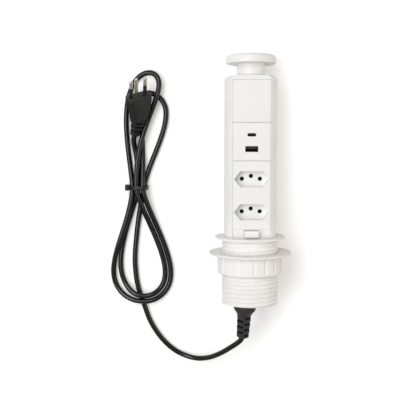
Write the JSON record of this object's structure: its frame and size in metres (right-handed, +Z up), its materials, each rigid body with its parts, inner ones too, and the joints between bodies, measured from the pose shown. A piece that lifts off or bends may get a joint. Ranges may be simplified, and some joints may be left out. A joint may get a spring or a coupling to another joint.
{
  "type": "pop-up desk socket",
  "caption": "Retractable desk tower socket lying on its back: white sliding column with hexagonal three-pin sockets and charger ports, threaded sleeve with clamp nut, tied black mains lead",
  "frame": {"origin": "middle of the underside of the box round the socket without its lead, on the surface it lies on", "axes": "+Y from the strain relief to the pull knob, +Z up out of the flat front, +X to the right seen from the front"},
  "size_m": [0.1988, 0.3483, 0.0874],
  "materials": {
    "white_plastic": "satin moulded white",
    "cream_plastic": "plain moulded",
    "black_rubber": "smooth soft sheath",
    "black_plastic": "satin moulded black",
    "pin_metal": "nickel plated",
    "steel": "zinc plated",
    "contact_brass": "stamped",
    "circuit_board": "lacquered",
    "transformer_tape": "taped winding",
    "brown_insulation": "plain",
    "blue_insulation": "plain",
    "green_insulation": "plain"
  },
  "bodies": {
    "sleeve": {"desk_sleeve": "white_plastic"},
    "washer": {"clamp_washer": "white_plastic"},
    "nut": {"ring_nut": "white_plastic"},
    "column": {"column_shell": "white_plastic", "column_foot": "white_plastic", "bottom_cap": "white_plastic", "cap_screws": "steel", "top_cap": "white_plastic", "pull_knob": "white_plastic", "knob_screw": "steel", "blank_cover": "white_plastic", "usb_faceplate": "white_plastic", "usb_c_shell": "steel", "usb_c_tongue": "black_plastic", "usb_a_shell": "steel", "usb_a_tongue": "black_plastic", "usb_board": "circuit_board", "usb_transformer": "transformer_tape", "usb_capacitors": "black_plastic", "socket_faceplate": "white_plastic", "socket_carrier": "cream_plastic", "live_contacts": "contact_brass", "neutral_contacts": "contact_brass", "earth_contacts": "contact_brass", "terminal_screws": "steel", "live_wire": "brown_insulation", "neutral_wire": "blue_insulation", "earth_wire": "green_insulation", "cable_clamp": "cream_plastic", "clamp_screws": "steel", "cord_entry": "black_rubber", "button_guide": "cream_plastic", "button_spring": "steel", "strain_relief": "black_rubber", "cord_lead": "black_rubber", "cord_hank": "black_rubber", "cord_tail": "black_rubber", "cable_tie": "black_plastic", "plug_body": "black_plastic", "plug_line_pins": "pin_metal", "plug_earth_pin": "pin_metal", "plug_pin_sleeves": "black_plastic"},
    "button": {"release_button": "white_plastic"}
  },
  "joints": [
    {"name": "column_lift", "type": "slide", "parent": "sleeve", "child": "column", "axis": [0, 0.9964, -0.0845], "range_m": [-0.166, 0]},
    {"name": "button_press", "type": "slide", "parent": "column", "child": "button", "axis": [0, -0.0845, -0.9964], "range_m": [0, 0.005], "stiffness_N_per_m": 300, "springref_m": -0.001, "deforming": ["button_spring"]},
    {"name": "nut_travel", "type": "slide", "parent": "sleeve", "child": "washer", "axis": [0, 0.9964, -0.0845], "range_m": [-0.031, 0.0135]},
    {"name": "nut_turn", "type": "hinge", "parent": "washer", "child": "nut", "pos_m": [0, -0.08815, 0.04466], "axis": [0, 0.9964, -0.0845], "range_deg": [-2481, 1081]}
  ],
  "couplings": [
    {"joint": "nut_turn", "follows": "nut_travel", "rad_per_m": 1396.3}
  ]
}
